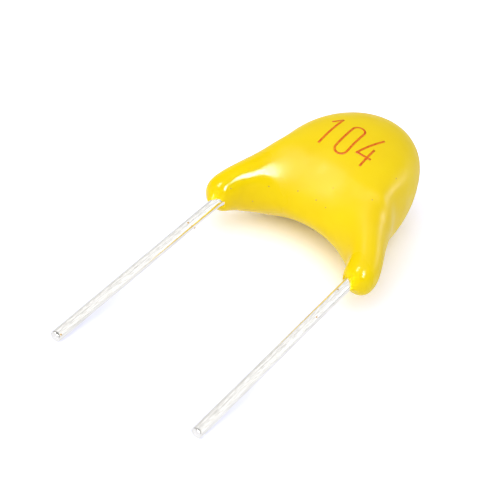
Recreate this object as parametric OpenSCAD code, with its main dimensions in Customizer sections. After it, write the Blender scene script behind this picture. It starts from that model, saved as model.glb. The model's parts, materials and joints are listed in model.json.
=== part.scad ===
// Multilayer ceramic capacitor: a ceramic chip soldered between two tinned leads, dipped in resin.
// It lies as it comes to rest, on its belly and on the tips of its leads.
// X runs across the leads, +Y from the lead tips to the crown, and +Z up.
// Everything is drawn in the plane of the leads, with Y = 0 where they leave the resin, and
// is then tilted on to the surface.

/* [Leads] */
// Distance between the axes of the two leads
lead_pitch = 5.08; // [4.6:0.02:5.6]
// Diameter of the wire
lead_d = 0.36; // [0.3:0.01:0.45]
// Length of bare wire below the resin
lead_len = 7.2; // [4:0.1:25]
// Straight wire inside the leg, up to the first bend
lead_sink = 0.1; // [0.05:0.01:0.15]
// Radius of both bends, at the axis of the wire
bend_r = 0.6; // [0.4:0.05:0.8]
// Straight wire between the upper bend and the solder
joint_run = 0.2; // [0.1:0.05:0.4]
// How much thinner the drawn wire is in a bend, on each side
bend_thin = 0.005; // [0.003:0.001:0.01]
// Wire that stands above the solder
lead_over = 0.1; // [0.05:0.01:0.2]

/* [Chip] */
// Length over both end caps
chip_l = 3; // [2.6:0.05:3.2]
// Height over the end caps, along the leads
chip_h = 1.6; // [1.5:0.05:2]
// Thickness over the end caps
chip_t = 1.25; // [0.9:0.05:1.6]
// Wall of a metal end cap
cap_wall = 0.05; // [0.03:0.01:0.08]
// Length of an end cap along the chip
cap_l = 0.5; // [0.3:0.05:0.7]

/* [Electrodes] */
// Number of plates in the stack
plate_count = 12; // [4:1:14]
// Thickness of one plate
plate_t = 0.02; // [0.01:0.005:0.03]
// Ceramic over the top plate and under the bottom one
cover_t = 0.15; // [0.1:0.01:0.2]
// Ceramic along the two long edges of a plate
edge_margin = 0.25; // [0.1:0.01:0.4]
// Ceramic between a plate and the end that it does not reach
end_margin = 0.55; // [0.3:0.05:0.8]

/* [Solder] */
// Solder between the wire and the end cap
solder_film = 0.02; // [0.01:0.005:0.05]
// Solder over the wire
solder_over = 0.1; // [0.06:0.01:0.14]
// Length of the fillet along the wire
solder_l = 1.2; // [0.8:0.05:1.3]
// Length of the taper at each end of the fillet
solder_taper = 0.3; // [0.1:0.05:0.38]

/* [Resin body] */
// Resin outside the solder, at the widest line of the bulb
coat_side = 0.24; // [0.15:0.01:0.5]
// Resin over each face of the chip, at the thickest place
coat_face = 1.06; // [0.5:0.02:1.2]
// Resin above the chip, up to the crown
coat_crown = 2.25; // [1.4:0.05:2.8]
// Resin under the chip, down to the arch
coat_arch = 1.3; // [0.9:0.01:1.6]
// Height of the arch above the lead exits
arch_h = 1.5; // [1.2:0.01:2]
// How far the bulb sits off centre, toward the right lead
bulb_shift = -0.06; // [-0.1:0.01:0.1]
// Fullness of the bulb's outer half: 1 is an ellipse, less is squarer, and more is sharper
bulb_power = 0.84; // [0.6:0.02:1]
// Fullness of the half that slopes down to the arch
arch_power = 1.4; // [1:0.05:1.6]

/* [Resin legs] */
// Reach of a leg outside the axis of its lead
leg_out = 0.65; // [0.5:0.01:0.8]
// Reach of a leg inside the axis of its lead
leg_in = 0.4; // [0.38:0.01:0.6]
// Thickness of a leg
leg_t = 1.14; // [0.9:0.02:1.4]
// Fullness of a leg's section
leg_power = 0.64; // [0.6:0.02:1]
// How long a leg keeps its own thickness: 1 swells at once, and more holds it longer
leg_hold = 1.2; // [1:0.05:1.6]
// Height of the widest line of a leg above the lead exit
leg_rise = 0.6; // [0.5:0.02:0.8]
// Resin around the wire at the end of a leg
leg_film = 0.03; // [0.02:0.005:0.06]
// How much further the resin runs down the outside of a lead than down its inside
leg_slant = 0.24; // [0:0.02:0.3]
// Pull of the leg on the side of the body, upward
leg_pull = 0.56; // [0.3:0.02:0.9]
// Pull of the bulb on the side of the body, downward
bulb_pull = 1.25; // [0.8:0.05:1.5]

/* [Hidden] */
$fn = 48;

LEFT = -1;
RIGHT = 1;
lead_r = lead_d / 2;

// Steps of the resin's loft, from the end of a leg to the crown, and points round each section
end_steps = 6;
side_steps = 14;
crown_steps = 12;
ring_points = 40;
last_step = end_steps + side_steps + crown_steps;

// How far a cut runs past an open face, so that no film is left there
cut_past = 0.02;

// How far a bend runs on inside the straight wire at each of its ends, in degrees
bend_lap = 3;

// Places of the chip and of the wires beside it
chip_y = arch_h + coat_arch + chip_h / 2;
joint_x = chip_l / 2 + solder_film + lead_r;
solder_r = lead_r + solder_over;
lead_top = chip_y + solder_l / 2 + lead_over;
ceramic = [chip_l, chip_h, chip_t] - 2 * cap_wall * [1, 1, 1];

// Sizes of the resin body
bulb_x = joint_x + solder_r + coat_side;
crown_y = chip_y + chip_h / 2 + coat_crown;
body_t = chip_t + 2 * coat_face;
leg_x = lead_pitch / 2 + leg_out;
mouth_r = lead_r + leg_film;

// The wire's way from its pitch in to the chip: two equal bends with a common tangent
bend_in = [lead_pitch / 2 - bend_r, lead_sink];
bend_out = [joint_x + bend_r, chip_y - solder_l / 2 - joint_run];
bend_gap = bend_out - bend_in;
slope_l = sqrt(bend_gap * bend_gap - pow(2 * bend_r, 2));
bend_angle = asin(2 * bend_r / norm(bend_gap)) - atan2(bend_gap.x, bend_gap.y);
slope_start = bend_in + bend_r * [cos(bend_angle), sin(bend_angle)];

// A plate's place in the stack
plate_step = (ceramic.z - 2 * cover_t - plate_t) / (plate_count - 1);

// Angle that climbs from 0 at the widest line of a leg to 90 at the crown
function climb(i) = 90 * (i - end_steps) / (last_step - end_steps);

// Angle that opens from 0 at the end of a leg to 90 at its widest line, and stays there
function opening(i) = 90 * min(1, i / end_steps);

// Rounded end of a leg: a quarter ellipse that opens from the wire to the leg's full reach
function leg_end(i, way, reach, y_start) =
    [lead_pitch / 2 + way * (mouth_r + (reach - mouth_r) * sin(opening(i))),
     y_start + (leg_rise - y_start) * (1 - cos(opening(i)))];

// Side of the body: a curve that leaves the leg and meets the bulb upright
function side_curve(s, bulb_edge) =
    pow(1 - s, 3) * [leg_x, leg_rise]
    + 3 * pow(1 - s, 2) * s * [leg_x, leg_rise + leg_pull]
    + 3 * (1 - s) * s * s * [bulb_edge, chip_y - bulb_pull]
    + pow(s, 3) * [bulb_edge, chip_y];

// Crown: a quarter ellipse over the bulb
function crown_curve(s, bulb_edge) =
    [bulb_edge - bulb_x * (1 - cos(90 * s)), chip_y + (crown_y - chip_y) * sin(90 * s)];

// Outer edge of the body at a step, drawn as on the right half
function outer_edge(i, side) =
    let (bulb_edge = bulb_x + side * bulb_shift)
    i <= end_steps ? leg_end(i, 1, leg_out, -leg_slant / 2) :
    i <= end_steps + side_steps ? side_curve((i - end_steps) / side_steps, bulb_edge) :
    crown_curve((i - end_steps - side_steps) / crown_steps, bulb_edge);

// Inner edge at a step: the leg's rounded end, then half of the arch
function inner_edge(i) =
    i <= end_steps ? leg_end(i, -1, leg_in, leg_slant / 2) :
    [(lead_pitch / 2 - leg_in) * cos(climb(i)), leg_rise + (arch_h - leg_rise) * sin(climb(i))];

// Half of the body's thickness at a step: it opens at the end of a leg and swells up to the crown
function half_t(i) =
    let (swell = pow(sin(max(0, climb(i))), leg_hold))
    mouth_r + ((leg_t + (body_t - leg_t) * swell) / 2 - mouth_r) * sin(opening(i));

// Fullness of the section at a step: the leg's, then more and more that of the bulb or the arch
function fullness(i, power) = leg_power + (power - leg_power) * sin(max(0, climb(i)));

// One section of the body, a full oval from its inner edge to its outer edge
function section_ring(i, side) =
    let (a = inner_edge(i), b = outer_edge(i, side), t = half_t(i))
    let (inner_power = fullness(i, arch_power), outer_power = fullness(i, bulb_power))
    [for (k = [0:ring_points - 1])
        let (turn = 360 * k / ring_points, p = a + (b - a) * (1 - cos(turn)) / 2)
        let (power = cos(turn) > 0 ? inner_power : outer_power)
        [side * p.x, p.y, t * sign(sin(turn)) * pow(abs(sin(turn)), power)]];

// Sections from the end of the left leg over the crown to the end of the right leg
body_rings = concat(
    [for (i = [0:last_step]) section_ring(i, LEFT)],
    [for (i = [last_step - 1:-1:0]) section_ring(i, RIGHT)]
);
body_points = [for (ring = body_rings) each ring];

// Rest: the tilt at which the belly lies as low as the lead tips, found by halving
function belly_z(tilt) = min([for (p = body_points) p.y * sin(tilt) + p.z * cos(tilt)]);
function tip_z(tilt) = -lead_len * sin(tilt) - lead_r * cos(tilt);
function rest_angle(low, high, turns) =
    let (mid = (low + high) / 2)
    turns == 0 ? mid :
    belly_z(mid) < tip_z(mid) ? rest_angle(mid, high, turns - 1) : rest_angle(low, mid, turns - 1);
rest_tilt = rest_angle(0, 45, 24);
rest_lift = -tip_z(rest_tilt);
rest_y_min = -lead_len * cos(rest_tilt) - lead_r * sin(rest_tilt);
rest_y_max = max([for (p = body_points) p.y * cos(rest_tilt) - p.z * sin(rest_tilt)]);
rest_shift = -(rest_y_min + rest_y_max) / 2;

// Turns a piece from the plane of the leads to where it rests
module at_rest() {
    translate([0, rest_shift, rest_lift])
        rotate([rest_tilt, 0, 0])
            children();
}

// Draws a piece of the right half on either side
module on_side(side) {
    mirror([side == LEFT ? 1 : 0, 0, 0])
        children();
}

// A straight piece of wire from a point, leaning inward
module wire(from, length, lean = 0) {
    translate([from.x, from.y, 0])
        rotate([-90, 0, lean])
            cylinder(d = lead_d, h = length);
}

// A bend of the wire about a centre
module wire_bend(centre, start) {
    translate([centre.x, centre.y, 0])
        rotate([0, 0, start - bend_lap])
            rotate_extrude(angle = bend_angle + 2 * bend_lap)
                translate([bend_r, 0])
                    circle(r = lead_r - bend_thin);
}

// The right lead, from its tip to the chip
module lead_wire() {
    wire([lead_pitch / 2, -lead_len], lead_len + lead_sink);
    wire_bend(bend_in, 0);
    wire(slope_start, slope_l, bend_angle);
    wire_bend(bend_out, 180);
    wire([joint_x, bend_out.y], lead_top - bend_out.y);
}

// A tapered barrel of solder round the right wire, before it is cut to its seat
module solder_barrel() {
    translate([joint_x, chip_y, 0])
        rotate([-90, 0, 0])
            rotate_extrude()
                polygon([
                    [0, -solder_l / 2],
                    [lead_r, -solder_l / 2],
                    [solder_r, -solder_l / 2 + solder_taper],
                    [solder_r, solder_l / 2 - solder_taper],
                    [lead_r, solder_l / 2],
                    [0, solder_l / 2]
                ]);
}

// A block in the middle of the chip
module chip_block(size) {
    translate([0, chip_y, 0])
        cube(size, center = true);
}

// The outside of the right end cap
module cap_block() {
    translate([chip_l / 2 - cap_l, chip_y - chip_h / 2, -chip_t / 2])
        cube([cap_l, chip_h, chip_t]);
}

// A plate of the stack, which may run past the end that it reaches
module plate(i, past = 0) {
    way = i % 2 == 1 ? LEFT : RIGHT;
    length = ceramic.x - end_margin + past;
    z = -ceramic.z / 2 + cover_t + plate_t / 2 + (i - 1) * plate_step;
    translate([way * (end_margin + past) / 2, chip_y, z])
        cube([length, ceramic.y - 2 * edge_margin, plate_t], center = true);
}

// The dipped body, lofted through its sections and closed at the end of each leg
module body_loft() {
    rings = len(body_rings);
    last = (rings - 1) * ring_points;
    walls = [for (r = [0:rings - 2], k = [0:ring_points - 1])
        let (a = r * ring_points + k, b = r * ring_points + (k + 1) % ring_points)
        each [[a, b, b + ring_points], [a, b + ring_points, a + ring_points]]];
    left_end = [for (k = [ring_points - 1:-1:0]) k];
    right_end = [for (k = [0:ring_points - 1]) last + k];
    polyhedron(body_points, concat(walls, [left_end, right_end]), convexity = 6);
}

module epoxy_coating() {
    color([0.98, 0.86, 0.02])
        difference() {
            body_loft();
            chip_block(ceramic);
            for (side = [LEFT, RIGHT])
                on_side(side) {
                    cap_block();
                    solder_barrel();
                    lead_wire();
                }
        }
}

module lead(side) {
    color([0.80, 0.80, 0.81])
        on_side(side)
            lead_wire();
}

module solder(side) {
    color([0.62, 0.63, 0.65])
        on_side(side)
            difference() {
                solder_barrel();
                chip_block([chip_l, chip_h, chip_t]);
                lead_wire();
            }
}

module termination(side) {
    color([0.72, 0.71, 0.68])
        on_side(side)
            difference() {
                cap_block();
                chip_block(ceramic);
            }
}

module ceramic_body() {
    color([0.78, 0.70, 0.58])
        difference() {
            chip_block(ceramic);
            for (i = [1:plate_count])
                plate(i, cut_past);
        }
}

module electrode(i) {
    color([0.45, 0.44, 0.42])
        plate(i);
}

at_rest() epoxy_coating();
at_rest() lead(LEFT);  // lead_left
at_rest() lead(RIGHT);  // lead_right
at_rest() solder(LEFT);  // solder_left
at_rest() solder(RIGHT);  // solder_right
at_rest() termination(LEFT);  // termination_left
at_rest() termination(RIGHT);  // termination_right
at_rest() ceramic_body();
for (i = [1:plate_count])
    at_rest() electrode(i);
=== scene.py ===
# %% [markdown]
# # A dipped ceramic capacitor
# A small ceramic chip is soldered between two tinned wires and dipped in yellow resin.
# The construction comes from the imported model, and this script gives it its looks.
# Only the resin, the wires and a printed number can be seen. The chip inside keeps its own solids.

# %% Load the part
import json
import math

import bpy
from mathutils import Matrix, Vector

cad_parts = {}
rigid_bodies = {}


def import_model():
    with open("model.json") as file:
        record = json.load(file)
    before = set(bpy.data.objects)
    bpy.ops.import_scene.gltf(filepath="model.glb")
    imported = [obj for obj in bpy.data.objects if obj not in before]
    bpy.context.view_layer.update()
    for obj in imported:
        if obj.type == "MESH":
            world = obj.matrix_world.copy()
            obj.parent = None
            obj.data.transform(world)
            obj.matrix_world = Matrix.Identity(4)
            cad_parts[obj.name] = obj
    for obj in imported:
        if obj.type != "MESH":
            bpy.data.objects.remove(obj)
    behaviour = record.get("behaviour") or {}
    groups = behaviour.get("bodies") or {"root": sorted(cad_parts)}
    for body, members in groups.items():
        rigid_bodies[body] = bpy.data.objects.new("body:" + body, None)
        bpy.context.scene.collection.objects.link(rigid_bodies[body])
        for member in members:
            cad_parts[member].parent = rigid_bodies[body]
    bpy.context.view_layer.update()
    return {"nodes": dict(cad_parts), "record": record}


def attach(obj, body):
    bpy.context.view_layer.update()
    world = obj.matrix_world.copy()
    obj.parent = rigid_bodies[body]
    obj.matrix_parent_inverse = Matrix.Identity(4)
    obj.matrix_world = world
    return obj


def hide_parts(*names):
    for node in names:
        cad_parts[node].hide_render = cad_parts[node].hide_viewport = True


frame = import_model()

MM = 0.001

# %% [markdown]
# ## Two frames
# The capacitor lies tilted, on its belly and on the tips of its leads.
# It is easier to model it flat, as on a drawing: X across the leads, Y along them with zero where
# they leave the resin's solid, and Z through the thickness. The record's two pin mounts say where
# that drawing lies. Everything is modelled in millimetres, a thousand times too big, because several
# tools have limits near a tenth of a millimetre. The last step brings a piece to its size and place.

# %% The drawing's place
LEFT = -1
RIGHT = 1
LEAD_SINK = 0.1          # straight wire inside a leg, which the mount counts too

pins = {pin["name"]: pin for pin in frame["record"]["mounts"]}
right_pin = pins["lead_right"]
wire_r = right_pin["dims"]["r_mm"]
wire_len = right_pin["dims"]["length_mm"] - LEAD_SINK
half_pitch = right_pin["pos_m"][0] / MM
up_the_lead = -Vector(right_pin["axis"])
exit_point = Vector(right_pin["pos_m"]) / MM + up_the_lead * wire_len / 2
tilt = math.atan2(up_the_lead.z, up_the_lead.y)
DRAWING = Matrix.Translation((0, exit_point.y, exit_point.z)) @ Matrix.Rotation(tilt, 4, "X")
print("pitch", round(2 * half_pitch, 3), "wire", 2 * wire_r, "x", wire_len)
print("tilt", round(math.degrees(tilt), 2), "degrees")

# %% [markdown]
# ## Camera
# The photograph looks down on the part from the front right, with the right lead nearest.
# The camera was found from the two leads, which are parallel and as far apart as their pitch.
# It is turned a little about its own axis, so the leads run toward the lower left.

# %% Camera
CAMERA_TARGET = Vector((-0.527, -0.429, 1.0))     # in millimetres, and so is the distance
CAMERA_DISTANCE = 42.16
CAMERA_AZIMUTH = math.radians(-27.88)
CAMERA_DOWN = math.radians(38.95)
CAMERA_ROLL = math.radians(13.05)
CAMERA_LENS = 99.88
CAMERA_SENSOR = 36
NEAREST_SEEN = 0.001      # in metres
FARTHEST_SEEN = 10

look = Vector((
    math.sin(CAMERA_AZIMUTH) * math.cos(CAMERA_DOWN),
    math.cos(CAMERA_AZIMUTH) * math.cos(CAMERA_DOWN),
    -math.sin(CAMERA_DOWN),
))
aim = look.to_track_quat("-Z", "Y").to_matrix() @ Matrix.Rotation(CAMERA_ROLL, 3, "Z")
bpy.ops.object.camera_add(
    location=(CAMERA_TARGET - look * CAMERA_DISTANCE) * MM,
    rotation=aim.to_euler(),
)
camera = bpy.context.object
camera.data.lens = CAMERA_LENS
camera.data.sensor_width = CAMERA_SENSOR
camera.data.clip_start = NEAREST_SEEN
camera.data.clip_end = FARTHEST_SEEN
bpy.context.scene.camera = camera
print("camera at", [round(c / MM, 2) for c in camera.location])

# %% [markdown]
# ## Helpers for materials
# A material is a tree of nodes. These helpers add a node, set its values and link what it is given.
# Patterns are laid out in metres, the unit of the finished part, so their scales are large numbers.

# %% Node helpers
NOISE_LOW = 0.3           # noise may be anything from 0 to 1, but it hardly leaves this range
NOISE_HIGH = 0.7
WHITE = (1, 1, 1, 1)


def feed(tree, socket, value):
    """Sets a socket to a value, or links another node's output to it."""
    if isinstance(value, bpy.types.NodeSocket):
        tree.links.new(value, socket)
    else:
        socket.default_value = value


def add_node(tree, kind, settings=None, **inputs):
    """Adds a node. In the name of an input, an underscore stands for a space."""
    made = tree.nodes.new("ShaderNode" + kind)
    for name, value in (settings or {}).items():
        setattr(made, name, value)
    for name, value in inputs.items():
        feed(tree, made.inputs[name.replace("_", " ")], value)
    return made


def calc(tree, operation, *values):
    """A math node's result."""
    made = add_node(tree, "Math", {"operation": operation})
    for socket, value in zip(made.inputs, values):
        feed(tree, socket, value)
    return made.outputs[0]


def fade(tree, value, low, high, at_low, at_high):
    """A value that runs smoothly from at_low to at_high while another runs from low to high."""
    made = add_node(
        tree, "MapRange", {"interpolation_type": "SMOOTHSTEP"},
        Value=value, From_Min=low, From_Max=high, To_Min=at_low, To_Max=at_high,
    )
    return made.outputs["Result"]


def noise(tree, place, scale, detail=2.0):
    return add_node(tree, "TexNoise", Vector=place, Scale=scale, Detail=detail).outputs["Fac"]


def vary(tree, pattern, least, most):
    """A value that a noise moves between least and most."""
    return fade(tree, pattern, NOISE_LOW, NOISE_HIGH, least, most)


def two_tones(tree, pattern, low_colour, high_colour, low=NOISE_LOW, high=NOISE_HIGH):
    """A colour that a noise moves between two tones."""
    made = add_node(tree, "ValToRGB", Fac=pattern)
    made.color_ramp.elements[0].position = low
    made.color_ramp.elements[1].position = high
    made.color_ramp.elements[0].color = (*low_colour, 1)
    made.color_ramp.elements[1].color = (*high_colour, 1)
    return made.outputs["Color"]


def new_material(name, **values):
    """A principled material with its constant values set on the shader's own sockets."""
    material = bpy.data.materials.new(name)
    material.use_nodes = True
    tree = material.node_tree
    shader = tree.nodes["Principled BSDF"]
    for key, value in values.items():
        shader.inputs[key.replace("_", " ")].default_value = value
    place = add_node(tree, "TexCoord").outputs["Object"]
    return material, tree, shader, place


def roughen(tree, shader, height, strength, distance):
    """Makes a surface uneven by a bump, without moving its points."""
    bump = add_node(tree, "Bump", Strength=strength, Distance=distance, Height=height)
    feed(tree, shader.inputs["Normal"], bump.outputs["Normal"])


# %% [markdown]
# ## Floor
# The part lies on white paper, which the photograph shows brighter than the part. More light would
# make it white too, but it would wash out the part. So the paper's colour is raised where the camera
# or a mirror sees it, and only the deep shadow under the part still shows on it. The wires lie in
# that shadow and would mirror it, so a mirror sees mostly plain white instead.

# %% Floor
FLOOR_SIZE = 0.9          # in metres
PAPER_TONE = 0.95
FIBRE_TONE = 0.98         # the darkest fibres, as a share of the paper's tone
FIBRE_SCALE = 900.0
# Seen cooler, the shadow under the part loses most of the yellow light that the resin bounces into it: a
# painted tint on that shade.
PAPER_SEEN = (1.32, 1.35, 1.6)     # how much brighter and cooler the camera and mirrors see it
MIRROR_GLOW = 0.85        # share of plain white that the wires mirror instead of shadowed paper
GLOW_LIGHT = 0.9          # how bright that white is

bpy.ops.object.select_all(action="DESELECT")
bpy.ops.mesh.primitive_plane_add(size=FLOOR_SIZE)
floor = bpy.context.object
floor.name = "paper_floor"


def paper():
    material, tree, shader, place = new_material("white_paper")
    ray = add_node(tree, "LightPath").outputs
    seen = calc(tree, "MAXIMUM", ray["Is Camera Ray"], ray["Is Glossy Ray"])
    seen = calc(tree, "MAXIMUM", seen, ray["Is Transmission Ray"])
    fibre = vary(tree, noise(tree, place, FIBRE_SCALE, 3.0), FIBRE_TONE * PAPER_TONE, PAPER_TONE)
    red, green, blue = [
        calc(tree, "MULTIPLY", fibre, fade(tree, seen, 0.0, 1.0, 1.0, share)) for share in PAPER_SEEN
    ]
    colour = add_node(tree, "CombineColor", Red=red, Green=green, Blue=blue).outputs["Color"]
    matt = add_node(tree, "BsdfDiffuse", Color=colour).outputs["BSDF"]
    glow = add_node(tree, "Emission", Color=WHITE, Strength=GLOW_LIGHT).outputs["Emission"]
    mix = add_node(tree, "MixShader", Fac=calc(tree, "MULTIPLY", ray["Is Glossy Ray"], MIRROR_GLOW))
    feed(tree, mix.inputs[1], matt)
    feed(tree, mix.inputs[2], glow)
    feed(tree, tree.nodes["Material Output"].inputs["Surface"], mix.outputs["Shader"])
    return material


floor.data.materials.append(paper())
print("floor", FLOOR_SIZE, "m wide")

# %% [markdown]
# ## Light
# The photograph was taken in a white tent: light comes from all round and shadows hardly show.
# An even world and one wide lamp, high at the front left, light the colours. Metal has no colour of
# its own and only shows what it mirrors, so mirrors see a world of their own: a bright band where
# the wires look, a soft glow low at the front, and a dim rest, which keeps the resin deep yellow.
# The camera sees a white world. Strip lamps make the white streaks on the glossy resin, and they
# light nothing else.

# %% Lamps
LAMP_CENTRE = Vector((0, 2, 1)) * MM
LAMP_DISTANCE = 0.2       # in metres


def direction(azimuth, height):
    """A direction in degrees: azimuth 0 is behind the part and 90 to its right."""
    a = math.radians(azimuth)
    h = math.radians(height)
    return Vector((math.sin(a) * math.cos(h), math.cos(a) * math.cos(h), math.sin(h)))


def strip_lamp(name, one_end, other_end, width, radiance):
    """A lamp that spans the sky from one direction to another and is as wide as an angle in degrees."""
    middle = (one_end + other_end).normalized()
    long_side = (other_end - one_end).normalized()
    axes = Matrix((long_side, middle.cross(long_side), middle)).transposed()
    bpy.ops.object.light_add(
        type="AREA",
        location=LAMP_CENTRE + middle * LAMP_DISTANCE,
        rotation=axes.to_euler(),
    )
    lamp = bpy.context.object
    lamp.name = name
    lamp.data.shape = "RECTANGLE"
    lamp.data.size = 2 * LAMP_DISTANCE * math.tan(one_end.angle(other_end) / 2)
    lamp.data.size_y = 2 * LAMP_DISTANCE * math.tan(math.radians(width) / 2)
    lamp.data.energy = radiance * math.pi * lamp.data.size * lamp.data.size_y
    return lamp


key = strip_lamp("key", direction(-164, 20), direction(-164, 90), width=70, radiance=1.0)
key.visible_glossy = False
streaks = [
    strip_lamp("left_leg_streak", direction(145, 59), direction(144, 27), width=12, radiance=66),
    strip_lamp("right_leg_streak", direction(-153, 34), direction(-138, 60), width=9, radiance=36),
    strip_lamp("shoulder_streak", direction(38, 10), direction(42, 30), width=8, radiance=28),
]
for lamp in streaks:
    lamp.visible_diffuse = False
print("key", round(key.data.energy, 3), "W, streaks", [round(lamp.data.energy, 3) for lamp in streaks])

# %% What mirrors see
# A place in this world is a direction of length 1: X to the right, Y to the back, Z up.
BAND_LIGHT = 1.08         # the part of the tent that the wires mirror
DIM_LIGHT = 0.28          # the rest
FRONT_LIGHT = 0.5         # the glow low at the front
BAND_FROM = (0.22, 0.32)  # the band fades in between these two values of Y
BAND_TO = (0.55, 0.65)    # and fades out between these
SEAM = (0.02, 0.1)        # it is duller along its middle, up to these distances in X
FAR_LEFT = (-0.75, -0.6)  # and at its left end
DULL = 0.75
FRONT_TO = (-0.2, 0.1)    # the glow fades out between these values of Y
FRONT_TOP = (0.0, 0.35)   # and between these values of Z

world = bpy.data.worlds.new("tent")
bpy.context.scene.world = world
world.use_nodes = True
sky = world.node_tree
toward = add_node(sky, "SeparateXYZ", Vector=add_node(sky, "TexCoord").outputs["Generated"]).outputs
off_seam = calc(sky, "ABSOLUTE", toward["X"])
band = fade(sky, toward["Y"], *BAND_FROM, DIM_LIGHT, BAND_LIGHT)
band = calc(sky, "MULTIPLY", band, fade(sky, toward["Y"], *BAND_TO, 1.0, DIM_LIGHT))
band = calc(sky, "MULTIPLY", band, fade(sky, off_seam, *SEAM, DULL, 1.0))
band = calc(sky, "MULTIPLY", band, fade(sky, toward["X"], *FAR_LEFT, DULL, 1.0))
front = fade(sky, toward["Y"], *FRONT_TO, FRONT_LIGHT, 0.0)
front = calc(sky, "MULTIPLY", front, fade(sky, toward["Z"], *FRONT_TOP, 1.0, 0.0))
print("mirrored world", len(sky.nodes), "nodes")

# %% World
DIFFUSE_LIGHT = 0.68      # what lights everything that is no mirror

ray = add_node(sky, "LightPath").outputs
mirrored = calc(sky, "MAXIMUM", ray["Is Glossy Ray"], ray["Is Transmission Ray"])
tent = calc(sky, "MULTIPLY", mirrored, calc(sky, "MAXIMUM", band, front))
seen = calc(sky, "MAXIMUM", mirrored, ray["Is Camera Ray"])
seen_light = calc(sky, "ADD", tent, ray["Is Camera Ray"])
even_light = fade(sky, seen, 0.0, 1.0, DIFFUSE_LIGHT, 0.0)
feed(sky, sky.nodes["Background"].inputs["Color"], WHITE)
feed(sky, sky.nodes["Background"].inputs["Strength"], calc(sky, "ADD", seen_light, even_light))
bpy.context.scene.view_settings.view_transform = "Standard"
print("world", len(sky.nodes), "nodes")

# %% [markdown]
# ## Resin
# The dipped skin is opaque yellow resin. It dries glossy on the legs, where it ran thin, and a
# little rough on the dome. Fine dark specks show in it here and there, and the skin is not quite even.
# One plain yellow would look like moulded plastic. So noise varies the tone, the gloss and the height
# a little, and the specks sit in the cells of a Voronoi pattern, each with a chance of its own.

# %% Resin material
RESIN_DEEP = (0.93, 0.665, 0.0)
RESIN_LIGHT = (0.95, 0.71, 0.0)
TONE_SCALE = 700.0
SPECK_BROWN = (0.60, 0.30, 0.02, 1)
SPECK_SCALE = 2600.0
SPECK_EDGE = (0.04, 0.09)     # a speck is full inside the first and gone outside the second
SPECK_CHANCE = (0.6, 1.0)     # cells whose chance is under the first have none
SPECK_DEPTH = 0.6
LEG_ROUGHNESS = 0.12
DOME_ROUGHNESS = 0.4
GLOSS_ENDS = (1.1 * MM, 1.9 * MM)     # glossy before the first and rough past the second, up the part
GLOSS_SLANT = 0.25        # the left leg is glossy further up than the right one
PATCH_SCALE = 1800.0
PATCHES = (0.85, 1.15)    # the gloss varies between these shares
WAVE_SCALE = 900.0
RIPPLE_SCALE = 7000.0
RIPPLE_SHARE = 0.12


def resin():
    material, tree, shader, place = new_material("yellow_resin", Specular_IOR_Level=0.16)
    tone = two_tones(tree, noise(tree, place, TONE_SCALE), RESIN_DEEP, RESIN_LIGHT)
    cells = add_node(tree, "TexVoronoi", Vector=place, Scale=SPECK_SCALE).outputs
    chance = add_node(tree, "SeparateColor", Color=cells["Color"]).outputs[0]
    speck = calc(
        tree, "MULTIPLY",
        fade(tree, cells["Distance"], *SPECK_EDGE, 1.0, 0.0),
        fade(tree, chance, *SPECK_CHANCE, 0.0, SPECK_DEPTH),
    )
    specked = add_node(tree, "MixRGB", Fac=speck, Color1=tone, Color2=SPECK_BROWN)
    feed(tree, shader.inputs["Base Color"], specked.outputs["Color"])
    part = add_node(tree, "SeparateXYZ", Vector=place).outputs
    up_the_leg = calc(tree, "MULTIPLY_ADD", part["X"], GLOSS_SLANT, part["Y"])
    gloss = fade(tree, up_the_leg, *GLOSS_ENDS, LEG_ROUGHNESS, DOME_ROUGHNESS)
    patches = vary(tree, noise(tree, place, PATCH_SCALE), *PATCHES)
    feed(tree, shader.inputs["Roughness"], calc(tree, "MULTIPLY", gloss, patches))
    ripple = calc(tree, "MULTIPLY", noise(tree, place, RIPPLE_SCALE), RIPPLE_SHARE)
    uneven = calc(tree, "ADD", noise(tree, place, WAVE_SCALE), ripple)
    roughen(tree, shader, uneven, strength=0.35, distance=0.05 * MM)
    return material


resin_finish = resin()
print("resin", len(resin_finish.node_tree.nodes), "nodes")

# %% [markdown]
# ## Tinned wire
# The leads are drawn copper wire with a bright coat of tin. Drawing leaves fine lines along the wire.
# They are far too fine to model, so they are noise that is stretched along Y, seen in the tone and
# in a slight bump.

# %% Wire material
TIN_DULL = (0.80, 0.78, 0.74)
TIN_BRIGHT = (0.97, 0.96, 0.935)
LINE_SCALE = 30000.0
LINE_STRETCH = (1.0, 0.03, 1.0)
LINE_ENDS = (0.32, 0.62)      # the noise at which the tin is dull, and at which it is bright
TIN_ROUGHNESS = (0.12, 0.22)
TIN_PATCH_SCALE = 2500.0


def tinned_wire():
    material, tree, shader, place = new_material("tinned_wire", Metallic=1.0)
    stretched = add_node(tree, "Mapping", Vector=place, Scale=LINE_STRETCH).outputs["Vector"]
    lines = noise(tree, stretched, LINE_SCALE, 3.0)
    feed(tree, shader.inputs["Base Color"], two_tones(tree, lines, TIN_DULL, TIN_BRIGHT, *LINE_ENDS))
    patches = vary(tree, noise(tree, place, TIN_PATCH_SCALE), *TIN_ROUGHNESS)
    feed(tree, shader.inputs["Roughness"], patches)
    roughen(tree, shader, lines, strength=0.2, distance=0.003 * MM)
    return material


wire_finish = tinned_wire()
print("wire", len(wire_finish.node_tree.nodes), "nodes")

# %% [markdown]
# ## Inside the resin
# The chip is matt fired ceramic with dark metal plates in it. Its ends are plated, and satin solder
# joins them to the wires. Nobody sees these pieces before the part is cut open, but they are finished
# too. One function makes all four finishes, because they differ only in tones, grain and shine.

# %% Materials inside
GRAIN_SPREAD = 0.08       # the roughness varies by this much either way


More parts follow.
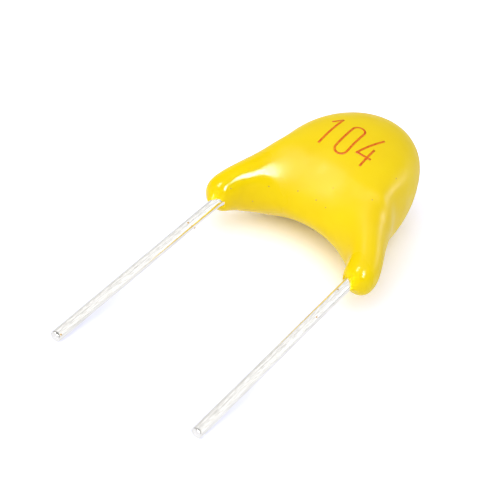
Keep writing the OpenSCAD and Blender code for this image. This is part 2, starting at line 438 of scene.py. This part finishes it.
def grainy(name, low_colour, high_colour, scale, roughness, metallic=0.0):
    """A fired, plated or cast surface: two tones in fine grains, and a slightly uneven skin."""
    material, tree, shader, place = new_material(name, Metallic=metallic)
    grain = noise(tree, place, scale, 4.0)
    feed(tree, shader.inputs["Base Color"], two_tones(tree, grain, low_colour, high_colour))
    uneven = vary(tree, grain, roughness - GRAIN_SPREAD, roughness + GRAIN_SPREAD)
    feed(tree, shader.inputs["Roughness"], uneven)
    roughen(tree, shader, grain, strength=0.3, distance=0.004 * MM)
    return material


def dress(piece, finish):
    piece.data.materials.clear()
    piece.data.materials.append(finish)


inside = {
    "ceramic": grainy("fired_ceramic", (0.50, 0.40, 0.27), (0.62, 0.51, 0.37), 9000.0, 0.75),
    "electrode": grainy("fired_plate", (0.13, 0.12, 0.11), (0.20, 0.19, 0.17), 12000.0, 0.55, 1.0),
    "termination": grainy("plated_cap", (0.42, 0.41, 0.37), (0.52, 0.51, 0.47), 8000.0, 0.45, 1.0),
    "solder": grainy("satin_solder", (0.30, 0.31, 0.33), (0.42, 0.43, 0.45), 5000.0, 0.32, 1.0),
}
for name, piece in frame["nodes"].items():
    for start, finish in inside.items():
        if name.startswith(start):
            dress(piece, finish)
print("inside finishes", list(inside))

# %% [markdown]
# ## Helpers for modelling
# Every operator works on what is selected, so a piece is first made the only selected one.

# %% Modelling helpers
WELD = 0.0002             # points nearer than this become one
HAIR = 0.001              # places that differ by less count as equal


def only(*pieces):
    """Leaves these pieces alone selected and the first one active, in object mode."""
    if bpy.context.object and bpy.context.object.mode != "OBJECT":
        bpy.ops.object.mode_set(mode="OBJECT")
    bpy.ops.object.select_all(action="DESELECT")
    for piece in pieces:
        piece.select_set(True)
    bpy.context.view_layer.objects.active = pieces[0]


def pick(piece, test):
    """In edit mode: selects the vertices whose place passes the test."""
    bpy.ops.mesh.select_mode(type="VERT")
    bpy.ops.mesh.select_all(action="DESELECT")
    bpy.ops.object.mode_set(mode="OBJECT")
    for vertex in piece.data.vertices:
        vertex.select = test(vertex.co)
    bpy.ops.object.mode_set(mode="EDIT")


def finish_modifiers(piece):
    only(piece)
    for modifier in list(piece.modifiers):
        bpy.ops.object.modifier_apply(modifier=modifier.name)


def joined(name, pieces):
    only(*pieces)
    bpy.ops.object.join()
    bpy.context.object.name = name
    return bpy.context.object


# %% [markdown]
# ## The dipped skin
# The solid of the resin is hollow where the chip and the wires sit in it. Only its outer skin is
# wanted here, so the ends around the wires are cut out, and what hangs on the inside is deleted.
# The legs of the solid are a little square in section, but thick resin pulls itself round. So they
# are smoothed, and then fattened by about as much as the smoothing took off.

# %% Outer skin
MOUTH_REACH = 0.25        # an end is cut out this far round the wire's axis
MOUTH_TOP = 0.16          # and up to here
QUAD_ANGLE = math.radians(60)


def axis_gap(place):
    """Distance of a place on the drawing from the axis of the nearer lead."""
    return math.hypot(abs(place.x) - half_pitch, place.z)


skin = bpy.data.objects.new("dipped_resin", frame["nodes"]["epoxy_coating"].data.copy())
bpy.context.scene.collection.objects.link(skin)
skin.data.transform(DRAWING.inverted() @ Matrix.Scale(1 / MM, 4))
only(skin)
bpy.ops.object.mode_set(mode="EDIT")
bpy.ops.mesh.select_all(action="SELECT")
bpy.ops.mesh.remove_doubles(threshold=WELD)
pick(skin, lambda p: axis_gap(p) < MOUTH_REACH and p.y < MOUTH_TOP)
bpy.ops.mesh.select_mode(type="FACE")
bpy.ops.mesh.delete(type="FACE")
bpy.ops.object.mode_set(mode="OBJECT")
top = max(v.co.z for v in skin.data.vertices)
bpy.ops.object.mode_set(mode="EDIT")
pick(skin, lambda p: p.z > top - HAIR)
bpy.ops.mesh.select_linked()
bpy.ops.mesh.select_all(action="INVERT")
bpy.ops.mesh.delete(type="VERT")
bpy.ops.mesh.select_all(action="SELECT")
bpy.ops.mesh.tris_convert_to_quads(face_threshold=QUAD_ANGLE, shape_threshold=QUAD_ANGLE)
bpy.ops.object.mode_set(mode="OBJECT")
print("skin", len(skin.data.vertices), "vertices", len(skin.data.polygons), "faces")

# %% Rounder legs
SOFT_TOP = 2.6            # the legs are softened up to here
SOFT_TURNS = 20
SOFT_SHARE = 0.5          # how far a turn moves a point toward the middle of its neighbours
SOFT_FILL = 0.07
FILL_REACH = 0.7          # the fattening fades out over this distance

bpy.ops.object.mode_set(mode="EDIT")
pick(skin, lambda p: p.y < SOFT_TOP)
bpy.ops.mesh.vertices_smooth(factor=SOFT_SHARE, repeat=SOFT_TURNS)
bpy.ops.transform.shrink_fatten(
    value=SOFT_FILL, use_proportional_edit=True, proportional_size=FILL_REACH,
)
bpy.ops.object.mode_set(mode="OBJECT")
print("softened", sum(v.co.y < SOFT_TOP for v in skin.data.vertices), "vertices")

# %% [markdown]
# ## The leg ends
# A drop of resin gathers at each end and shrinks up the wire as it dries. The lowest points are
# moved up the most, and the inner side of an end is pinched toward the wire, more on the left leg.
# A loop moves the points, because no single transform lifts and pinches by their height.

# %% Leg ends
END_TOP = 0.75            # a leg keeps its shape above this
END_LIFT = {LEFT: 0.26, RIGHT: 0.2}
END_PINCH = {LEFT: 0.3, RIGHT: 0.05}

for vertex in skin.data.vertices:
    share = max(0.0, min(1.0, (END_TOP - vertex.co.y) / END_TOP))
    side = math.copysign(1, vertex.co.x)
    inward = half_pitch - side * vertex.co.x
    if inward > 0:
        vertex.co.x += side * inward * END_PINCH[side] * share
    vertex.co.y += END_LIFT[side] * share ** 2
print("leg ends now at", round(min(v.co.y for v in skin.data.vertices), 3))

# %% [markdown]
# ## The ragged mouths
# Where the wire leaves a leg, the resin ends in a thin, uneven lip that clings to the wire. Each
# open end is extruded in three short steps, closer to the wire each time, and the last one is inside it.
# Two sine waves make the lip ragged, and not chance, so that it is the same on every run. Then the
# ends are closed, and a subdivision surface rounds the whole skin.

# %% Mouths
LIP_STEPS = [(0.235, 0.05), (0.2, 0.085), (0.165, 0.08)]     # radius, and how far down the wire
LIP_SLANT = 0.12
RAGGED = 0.045


def raggedness(angle, side):
    """How far the lip runs on down the wire, in millimetres, at an angle round it."""
    return RAGGED * (math.sin(3 * angle + side) + 0.6 * math.sin(7 * angle + 2 * side))


bpy.ops.object.mode_set(mode="EDIT")
bpy.ops.mesh.select_mode(type="EDGE")
bpy.ops.mesh.select_all(action="DESELECT")
bpy.ops.mesh.select_non_manifold(
    extend=False, use_wire=False, use_multi_face=False, use_non_contiguous=False,
)
for radius, down in LIP_STEPS:
    bpy.ops.mesh.extrude_edges_move(TRANSFORM_OT_translate={"value": (0, 0, 0)})
    bpy.ops.object.mode_set(mode="OBJECT")
    lip = [v for v in skin.data.vertices if v.select]
    for vertex in lip:
        side = math.copysign(1, vertex.co.x)
        angle = math.atan2(vertex.co.z, vertex.co.x - side * half_pitch)
        slant = LIP_SLANT * side * math.cos(angle)
        vertex.co.x = side * half_pitch + radius * math.cos(angle)
        vertex.co.z = radius * math.sin(angle)
        vertex.co.y = END_LIFT[side] - down - slant - raggedness(angle, side)
    bpy.ops.object.mode_set(mode="EDIT")
print("lips of", len(lip), "points")

# %% Close and round the skin
SKIN_LEVELS = 2

bpy.ops.mesh.select_all(action="SELECT")
bpy.ops.mesh.fill_holes(sides=0)
bpy.ops.mesh.select_all(action="SELECT")
bpy.ops.mesh.normals_make_consistent(inside=False)
bpy.ops.object.mode_set(mode="OBJECT")
smooth = skin.modifiers.new("smooth", "SUBSURF")
smooth.levels = SKIN_LEVELS
smooth.render_levels = SKIN_LEVELS
finish_modifiers(skin)
bpy.ops.object.shade_smooth()
lowest = min(v.co.y for v in skin.data.vertices)
print("skin", len(skin.data.polygons), "faces, lowest at", round(lowest, 3))

# %% [markdown]
# ## The leads
# Each lead is one wire: straight where it shows, then bent inward inside the leg and bent back up
# beside the chip. A curve with a round bevel could make it too, but a circle that is extruded along
# the straight runs and spun round the bends puts the rings of points where they are wanted.
# Its cut tip has slightly rounded edges.

# %% Leads
WIRE_SIDES = 40
BEND_R = 0.6
BEND_STEPS = 6
JOINT_X = 1.7             # the wire's axis beside the chip
JOINT_Y = 2.8             # where the upper bend ends
WIRE_TOP = 4.3
TIP_ROUND = 0.014
TIP_STEPS = 3
TIP_RING = 0.1            # a ring here keeps the shading of the round tip off the long straight run
SHARP_ANGLE = math.radians(40)

bend_from = Vector((half_pitch - BEND_R, LEAD_SINK, 0))
bend_to = Vector((JOINT_X + BEND_R, JOINT_Y, 0))
bend_gap = bend_to - bend_from
slope = math.sqrt(bend_gap.length_squared - (2 * BEND_R) ** 2)
bend_angle = math.asin(2 * BEND_R / bend_gap.length) - math.atan2(bend_gap.x, bend_gap.y)


def run(*way):
    """Extrudes what is selected along a straight way."""
    bpy.ops.mesh.extrude_region_move(TRANSFORM_OT_translate={"value": way})


def turn(steps, angle, centre):
    """Spins what is selected round a centre on the drawing, to the left when the angle is positive."""
    bpy.ops.mesh.spin(steps=steps, angle=-angle, axis=(0, 0, 1), center=centre)


def lead(name, side):
    bpy.ops.object.select_all(action="DESELECT")
    bpy.ops.mesh.primitive_circle_add(
        vertices=WIRE_SIDES, radius=wire_r, fill_type="NGON",
        location=(side * half_pitch, -wire_len, 0), rotation=(-math.pi / 2, 0, 0),
    )
    wire = bpy.context.object
    wire.name = name
    bpy.ops.object.transform_apply(location=True, rotation=True, scale=True)
    bpy.ops.object.mode_set(mode="EDIT")
    bpy.ops.mesh.select_all(action="SELECT")
    for length in (TIP_RING, wire_len - TIP_RING, LEAD_SINK):
        run(0, length, 0)
    turn(BEND_STEPS, side * bend_angle, (side * bend_from.x, bend_from.y, 0))
    run(-side * slope * math.sin(bend_angle), slope * math.cos(bend_angle), 0)
    turn(BEND_STEPS, -side * bend_angle, (side * bend_to.x, bend_to.y, 0))
    run(0, WIRE_TOP - JOINT_Y, 0)
    pick(wire, lambda p: p.y < -wire_len + HAIR)
    bpy.ops.mesh.region_to_loop()
    bpy.ops.mesh.bevel(offset=TIP_ROUND, segments=TIP_STEPS, affect="EDGES")
    bpy.ops.mesh.select_all(action="SELECT")
    bpy.ops.mesh.remove_doubles(threshold=WELD)
    bpy.ops.mesh.normals_make_consistent(inside=False)
    bpy.ops.object.mode_set(mode="OBJECT")
    bpy.ops.object.shade_smooth_by_angle(angle=SHARP_ANGLE)
    print(name, "top at", round(max(v.co.y for v in wire.data.vertices), 3))
    return wire


wires = {name: lead(name + "_wire", side) for name, side in (("lead_left", LEFT), ("lead_right", RIGHT))}

# %% [markdown]
# ## Grains and spatters
# A few coarser brown grains sit in the resin, and drops of it stayed on the wires. A spot of colour
# could stand for one, but a real one catches the light. So each starts as a small ball that is pushed
# out of round. A grain sits mostly under the skin, on the nearest place of it.

# %% Grains
GRAIN_R = 0.034
GRAIN_SUNK = 0.024
GRAINS = [
    (-0.61, 1.77, 0.63), (0.04, 1.82, 0.63), (0.44, 1.78, 0.60), (1.71, 3.60, 1.37),
    (1.67, 2.36, 1.30), (-1.47, 1.43, 0.52), (-1.80, 1.11, -0.08), (-2.31, 0.56, 0.48),
]
OUT_OF_ROUND = 0.25       # as a share of the radius


def crumb(place, radius, seed):
    bpy.ops.object.select_all(action="DESELECT")
    bpy.ops.mesh.primitive_ico_sphere_add(subdivisions=2, radius=radius, location=place)
    ball = bpy.context.object
    bpy.ops.object.transform_apply(location=True, rotation=True, scale=True)
    bpy.ops.object.mode_set(mode="EDIT")
    bpy.ops.mesh.select_all(action="SELECT")
    bpy.ops.transform.vertex_random(offset=OUT_OF_ROUND * radius, seed=seed)
    bpy.ops.object.mode_set(mode="OBJECT")
    bpy.ops.object.shade_smooth()
    return ball


grain_pieces = []
for seed, place in enumerate(GRAINS):
    on_skin, outward = skin.closest_point_on_mesh(place)[1:3]
    grain_pieces.append(crumb(on_skin - outward * GRAIN_SUNK, GRAIN_R, seed))
grains = joined("resin_grains", grain_pieces)
print("grains", len(GRAINS))

# %% Spatters
SPATTERS = [     # side, place along the lead, angle round it in degrees from +X, radius
    (LEFT, -1.27, 83, 0.035), (LEFT, -1.23, 34, 0.03), (LEFT, -1.09, -27, 0.035),
    (LEFT, -7.10, 43, 0.03), (RIGHT, -1.73, 53, 0.03), (RIGHT, -0.44, 99, 0.03),
]
SPATTER_SUNK = 0.3        # as a share of the radius

spatter_pieces = []
for seed, (side, along, angle, radius) in enumerate(SPATTERS):
    round_it = Vector((math.cos(math.radians(angle)), 0, math.sin(math.radians(angle))))
    place = Vector((side * half_pitch, along, 0)) + round_it * (wire_r - SPATTER_SUNK * radius)
    spatter_pieces.append(crumb(place, radius, seed))
spatters = joined("resin_spatters", spatter_pieces)
print("spatters", len(SPATTERS))

# %% [markdown]
# ## The printed number
# A number is printed on the dome in thin orange lines, as with a single pen stroke. A text object
# would bring letters of another weight, so each stroke is drawn: it starts as a small square, whose
# front edge is extruded along straight runs and spun round the bends. Then the number is pressed on
# to the dome from above and made as thick as ink.

# %% Pen
PEN_W = 0.075
PEN_Z = 2.5               # strokes are drawn at this height, above the dome
PEN_STEP = 0.08
PEN_WELD = 0.002


def heading_way(heading):
    a = math.radians(heading)
    return Vector((math.cos(a), math.sin(a), 0))


def pen_down(x, y, heading):
    """Starts a stroke at a place, with a heading in degrees from +X."""
    start = Vector((x, y, PEN_Z))
    bpy.ops.object.select_all(action="DESELECT")
    bpy.ops.mesh.primitive_plane_add(size=PEN_W, location=start, rotation=(0, 0, math.radians(heading)))
    stroke = bpy.context.object
    bpy.ops.object.transform_apply(location=True, rotation=True, scale=True)
    bpy.ops.object.mode_set(mode="EDIT")
    pick(stroke, lambda p: (p - start).dot(heading_way(heading)) > 0)
    return stroke


def pen_line(heading, length):
    steps = math.ceil(length / PEN_STEP)
    for step in range(steps):
        run(*(heading_way(heading) * length / steps))


def pen_up(stroke):
    bpy.ops.mesh.select_all(action="SELECT")
    bpy.ops.mesh.remove_doubles(threshold=PEN_WELD)
    bpy.ops.object.mode_set(mode="OBJECT")
    return stroke


def pen_stroke(x, y, heading, length):
    stroke = pen_down(x, y, heading)
    pen_line(heading, length)
    return pen_up(stroke)


# %% Digits
UP = 90                   # headings of the pen
DOWN = -90
ACROSS = 0
DIGIT_W = 0.42
DIGIT_H = 1.36
DIGIT_PITCH = 0.74
NUMBER_PLACE = (-0.23, 3.86)
FLAG_X = -0.18            # where the flag of a one starts, from the middle of its top
FLAG_Y = -0.26
FLAG_HEADING = 52
FLAG_LENGTH = 0.3
ONE_X = 0.03
ROUND_STEPS = 12
BAR_DROP = 0.24 * DIGIT_H     # the bar of a four, under its middle
BAR_LENGTH = 1.15 * DIGIT_W
SLANT_X = 0.1
SLANT_REACH = 0.85 * DIGIT_W
STEM_X = 0.12
STEM_TOP = 0.06


def one(x, y):
    """A flag and an upright, centred on a place."""
    top_y = y + DIGIT_H / 2
    return [
        pen_stroke(x + FLAG_X, top_y + FLAG_Y, FLAG_HEADING, FLAG_LENGTH),
        pen_stroke(x + ONE_X, top_y, DOWN, DIGIT_H),
    ]


def zero(x, y):
    """Two upright lines with a half circle at each end."""
    half_line = (DIGIT_H - DIGIT_W) / 2
    stroke = pen_down(x + DIGIT_W / 2, y - half_line, UP)
    pen_line(UP, 2 * half_line)
    turn(ROUND_STEPS, math.pi, (x, y + half_line, PEN_Z))
    pen_line(DOWN, 2 * half_line)
    turn(ROUND_STEPS, math.pi, (x, y - half_line, PEN_Z))
    return [pen_up(stroke)]


def four(x, y):
    """A slanting line down to a bar, and an upright that crosses the bar."""
    top_y = y + DIGIT_H / 2
    bar_y = y - BAR_DROP
    slant_heading = math.degrees(math.atan2(bar_y - top_y, -SLANT_REACH))
    return [
        pen_stroke(x + SLANT_X, top_y, slant_heading, math.hypot(top_y - bar_y, SLANT_REACH)),
        pen_stroke(x + SLANT_X - SLANT_REACH, bar_y, ACROSS, BAR_LENGTH),
        pen_stroke(x + STEM_X, y + STEM_TOP, DOWN, DIGIT_H / 2 + STEM_TOP),
    ]


x, y = NUMBER_PLACE
number = joined("printed_number", one(x - DIGIT_PITCH, y) + zero(x, y) + four(x + DIGIT_PITCH, y))
print("number", len(number.data.polygons), "faces")

# %% Press the number on
INK_T = 0.006
INK_PROUD = 0.6           # how far the ink stands out of the skin: 1 is all of it, and -1 is none

press = number.modifiers.new("press", "SHRINKWRAP")
press.target = skin
press.wrap_method = "PROJECT"
press.use_project_z = True
press.use_negative_direction = True
press.use_positive_direction = False
ink_wall = number.modifiers.new("ink_wall", "SOLIDIFY")
ink_wall.thickness = INK_T
ink_wall.offset = INK_PROUD
finish_modifiers(number)
bpy.ops.object.shade_smooth()
print("ink", len(number.data.polygons), "faces")

# %% [markdown]
# ## Ink and brown resin
# Thin ink lets some of the yellow under it show, so its orange varies between two tones. The grains
# and the spatters are darker resin, with the same kind of finish as the pieces inside.

# %% Ink and brown resin
INK_DEEP = (0.76, 0.10, 0.0)
INK_LIGHT = (0.92, 0.26, 0.0)
INK_SCALE = 9000.0
INK_ENDS = (0.35, 0.7)    # the noise at which the ink is deep, and at which it is light


def ink():
    material, tree, shader, place = new_material("orange_ink", Roughness=0.45, Specular_IOR_Level=0.16)
    patches = noise(tree, place, INK_SCALE, 3.0)
    feed(tree, shader.inputs["Base Color"], two_tones(tree, patches, INK_DEEP, INK_LIGHT, *INK_ENDS))
    return material


ink_finish = ink()
brown_resin = grainy("brown_resin", (0.52, 0.27, 0.02), (0.72, 0.44, 0.04), 20000.0, 0.45)
print("finishes", ink_finish.name, brown_resin.name)

# %% [markdown]
# ## Into place
# The pieces leave the drawing last, because all of them were shaped against each other there. Each is
# brought to metres, laid down at the tilt, dressed and handed to the part's one body. The skin and the
# wires take the place of their own solids, and the rest is added to them.

# %% Dress the visible pieces
def hand_in(piece, finish, node=None):
    """Brings a piece from the drawing to its place on the floor, in metres, and dresses it."""
    only(piece)
    piece.matrix_world = Matrix.Scale(MM, 4) @ DRAWING
    bpy.ops.object.transform_apply(location=True, rotation=True, scale=True)
    dress(piece, finish)
    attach(piece, "root")
    if node:
        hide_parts(node)
    print(piece.name, len(piece.data.polygons), "faces")


hand_in(skin, resin_finish, node="epoxy_coating")
for name, wire in wires.items():
    hand_in(wire, wire_finish, node=name)
hand_in(grains, brown_resin)
hand_in(spatters, brown_resin)
hand_in(number, ink_finish)
